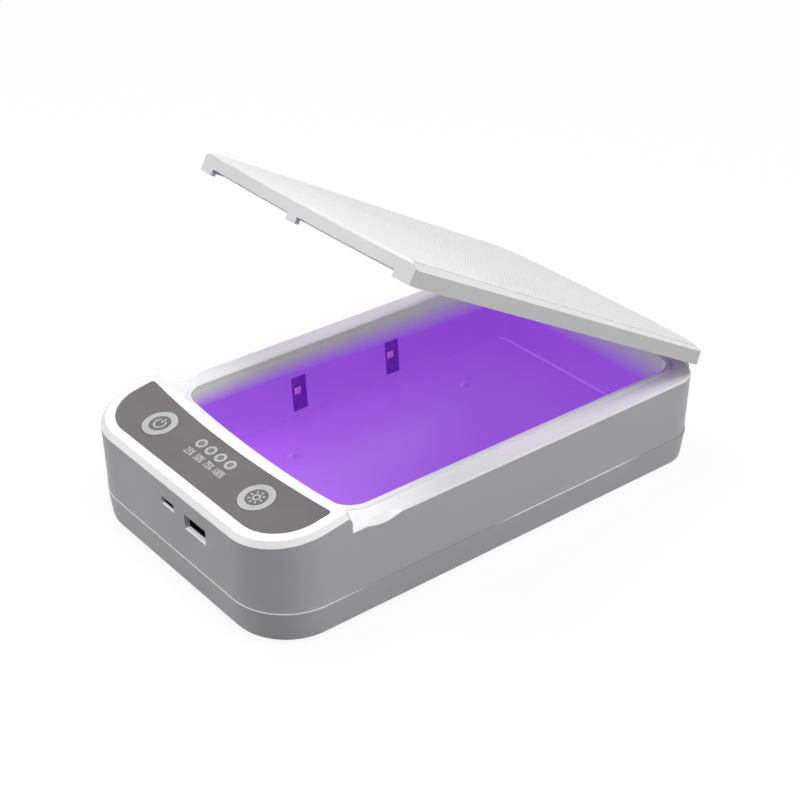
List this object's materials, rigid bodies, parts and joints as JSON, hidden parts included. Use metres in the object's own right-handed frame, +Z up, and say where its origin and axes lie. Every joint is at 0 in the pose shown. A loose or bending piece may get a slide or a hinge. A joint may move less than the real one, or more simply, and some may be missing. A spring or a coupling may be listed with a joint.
{
  "type": "uv sanitizer box for phones",
  "caption": "Desktop box with a hinged lid, a lit tub for a phone, a sloping panel with push buttons and progress lights, and charging ports in front.",
  "frame": {"origin": "centre of the case's plan, on the table plane that the rubber feet stand on, 1.2 mm below the underside", "axes": "+Z up, +Y from the control panel at the front to the hinge at the rear, +X to the right as seen from the front"},
  "size_m": [0.126, 0.2177, 0.1337],
  "materials": {
    "button": "dark grey, smooth",
    "case_shell": "white moulded plastic, satin",
    "chip": "black moulded package",
    "circuit_board": "green solder mask",
    "foot": "soft dark rubber",
    "lamp_board": "dark circuit board",
    "lid_shell": "white moulded plastic with a fine line texture",
    "light": "milky clear plastic",
    "panel": "dark grey, smooth",
    "port_metal": "plated sheet metal",
    "port_plastic": "black plastic",
    "ring": "pale grey, smooth",
    "steel": "plated steel",
    "tray": "smooth pale grey plastic",
    "uv_lamp": "small lamp with a clear lens",
    "washer": "natural nylon"
  },
  "bodies": {
    "case": {"board_screws": "steel", "case_screws": "steel", "control_board": "circuit_board", "control_panel": "panel", "controller_chip": "chip", "indicator_leds": "light", "inner_tray": "tray", "lamp_board_left_front": "lamp_board", "lamp_board_left_rear": "lamp_board", "lamp_board_right_front": "lamp_board", "lamp_board_right_rear": "lamp_board", "left_hinge_pin": "steel", "left_hinge_washers": "washer", "left_tact_switch": "chip", "lid_sensor": "chip", "light_pipe_100": "light", "light_pipe_25": "light", "light_pipe_50": "light", "light_pipe_75": "light", "light_rings": "ring", "lower_case": "case_shell", "micro_usb_shell": "port_metal", "micro_usb_tongue": "port_plastic", "power_coil": "chip", "right_hinge_pin": "steel", "right_hinge_washers": "washer", "right_tact_switch": "chip", "rubber_foot_front_left": "foot", "rubber_foot_front_right": "foot", "rubber_foot_rear_left": "foot", "rubber_foot_rear_right": "foot", "tray_screws": "steel", "upper_case": "case_shell", "usb_a_shell": "port_metal", "usb_a_tongue": "port_plastic", "uv_lamp_left_front": "uv_lamp", "uv_lamp_left_rear": "uv_lamp", "uv_lamp_right_front": "uv_lamp", "uv_lamp_right_rear": "uv_lamp"},
    "lid": {"lid_cover": "lid_shell", "lid_liner": "tray", "lid_magnet": "steel", "lid_screws": "steel"},
    "left_button": {"left_button_cap": "button", "left_button_ring": "ring", "left_switch_plunger": "port_plastic"},
    "right_button": {"right_button_cap": "button", "right_button_ring": "ring", "right_switch_plunger": "port_plastic"}
  },
  "joints": [
    {"name": "lid_hinge", "type": "hinge", "parent": "case", "child": "lid", "pos_m": [0, 0.107, 0.0352], "axis": [-1, 0, 0], "range_deg": [-28.9, 61.1]},
    {"name": "left_button_press", "type": "slide", "parent": "case", "child": "left_button", "axis": [0, 0, -1], "range_m": [0, 0.0005], "stiffness_N_per_m": 2000, "springref_m": -0.0005},
    {"name": "right_button_press", "type": "slide", "parent": "case", "child": "right_button", "axis": [0, 0, -1], "range_m": [0, 0.0005], "stiffness_N_per_m": 2000, "springref_m": -0.0005}
  ]
}
